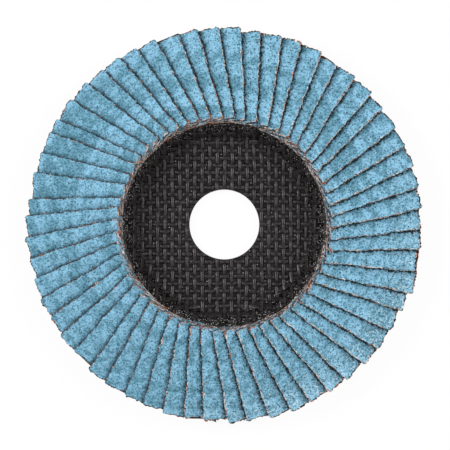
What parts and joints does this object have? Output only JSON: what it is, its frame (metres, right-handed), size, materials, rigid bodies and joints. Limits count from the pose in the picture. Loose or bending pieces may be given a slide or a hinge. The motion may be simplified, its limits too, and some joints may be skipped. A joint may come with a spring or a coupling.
{
  "type": "flap disc",
  "caption": "Conical flap disc: abrasive cloth flaps fanned round a dished glass-fibre backing plate with a plain bore.",
  "frame": {"origin": "on the bore's axis, at the hub's raised back face, on which the disc lies", "axes": "+Z along the bore's axis towards the abrasive side, +X and +Y across the disc; flap 1 lies near +Y and the numbers run clockwise seen from +Z"},
  "size_m": [0.125, 0.125, 0.0151],
  "materials": {
    "backing_plate": "woven glass fibre pressed in black phenolic resin, satin",
    "adhesive": "cured epoxy, glossy, dark",
    "abrasive_cloth": "polyester-cotton cloth with a blue zirconia grit coat, brown at its cut edges"
  },
  "bodies": {
    "root": {"backing_plate": "backing_plate", "adhesive_bed": "adhesive", "flap_01": "abrasive_cloth", "flap_02": "abrasive_cloth", "flap_03": "abrasive_cloth", "flap_04": "abrasive_cloth", "flap_05": "abrasive_cloth", "flap_06": "abrasive_cloth", "flap_07": "abrasive_cloth", "flap_08": "abrasive_cloth", "flap_09": "abrasive_cloth", "flap_10": "abrasive_cloth", "flap_11": "abrasive_cloth", "flap_12": "abrasive_cloth", "flap_13": "abrasive_cloth", "flap_14": "abrasive_cloth", "flap_15": "abrasive_cloth", "flap_16": "abrasive_cloth", "flap_17": "abrasive_cloth", "flap_18": "abrasive_cloth", "flap_19": "abrasive_cloth", "flap_20": "abrasive_cloth", "flap_21": "abrasive_cloth", "flap_22": "abrasive_cloth", "flap_23": "abrasive_cloth", "flap_24": "abrasive_cloth", "flap_25": "abrasive_cloth", "flap_26": "abrasive_cloth", "flap_27": "abrasive_cloth", "flap_28": "abrasive_cloth", "flap_29": "abrasive_cloth", "flap_30": "abrasive_cloth", "flap_31": "abrasive_cloth", "flap_32": "abrasive_cloth", "flap_33": "abrasive_cloth", "flap_34": "abrasive_cloth", "flap_35": "abrasive_cloth", "flap_36": "abrasive_cloth", "flap_37": "abrasive_cloth", "flap_38": "abrasive_cloth", "flap_39": "abrasive_cloth", "flap_40": "abrasive_cloth", "flap_41": "abrasive_cloth", "flap_42": "abrasive_cloth", "flap_43": "abrasive_cloth", "flap_44": "abrasive_cloth", "flap_45": "abrasive_cloth", "flap_46": "abrasive_cloth", "flap_47": "abrasive_cloth", "flap_48": "abrasive_cloth", "flap_49": "abrasive_cloth", "flap_50": "abrasive_cloth", "flap_51": "abrasive_cloth", "flap_52": "abrasive_cloth", "flap_53": "abrasive_cloth", "flap_54": "abrasive_cloth", "flap_55": "abrasive_cloth", "flap_56": "abrasive_cloth", "flap_57": "abrasive_cloth", "flap_58": "abrasive_cloth"}
  },
  "joints": []
}
